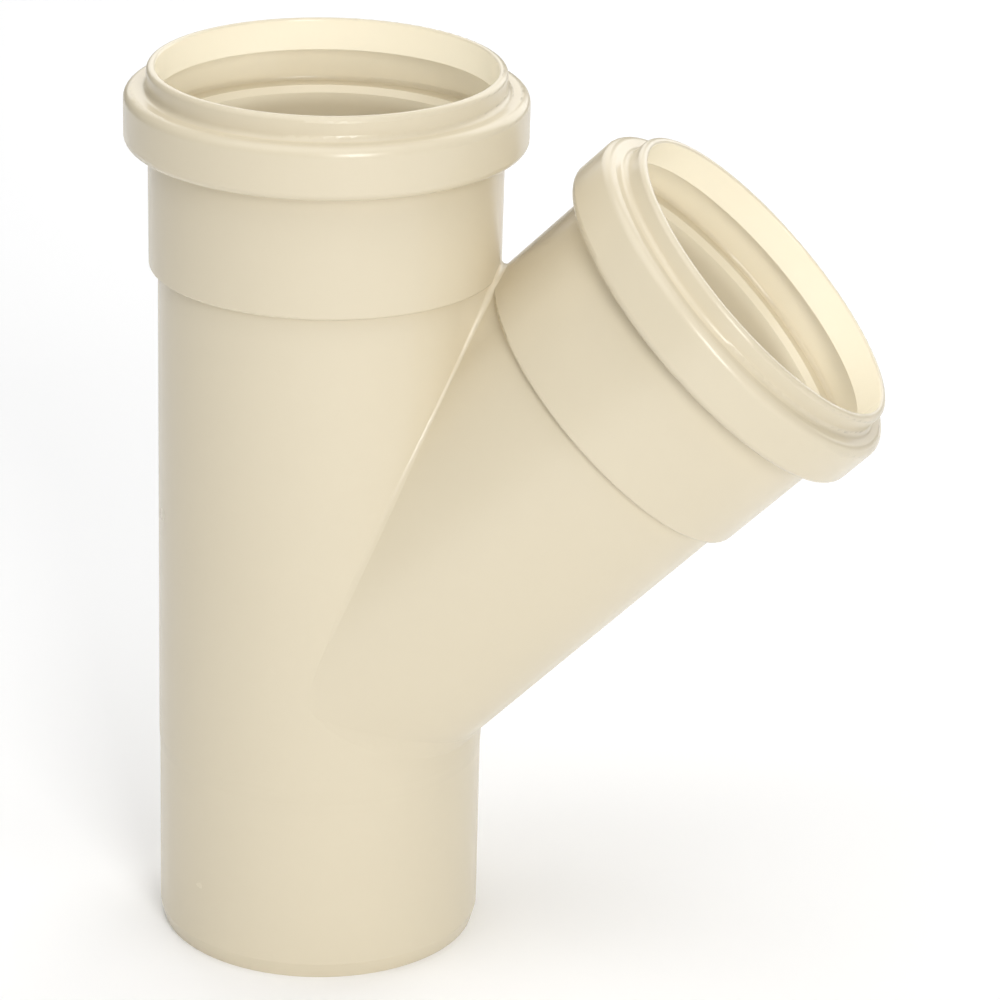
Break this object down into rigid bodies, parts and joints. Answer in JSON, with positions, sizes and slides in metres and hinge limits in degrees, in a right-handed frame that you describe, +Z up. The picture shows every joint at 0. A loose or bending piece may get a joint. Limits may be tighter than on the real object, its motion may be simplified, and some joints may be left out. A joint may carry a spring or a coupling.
{
  "type": "sewer wye fitting",
  "caption": "Moulded 45-degree drainage wye: a plain spigot at the foot, and a ring-seal socket on both the straight run and the slanted branch.",
  "frame": {"origin": "centre of the spigot's end face, on the axis of the straight run", "axes": "+Z up the straight run towards its socket, +X to the side that the branch leans to; the part is symmetric about the XZ plane"},
  "size_m": [0.2339, 0.1226, 0.2816],
  "materials": {
    "cream_pvc": "satin moulded pvc, cream"
  },
  "bodies": {
    "root": {"wye_body": "cream_pvc"}
  },
  "joints": []
}
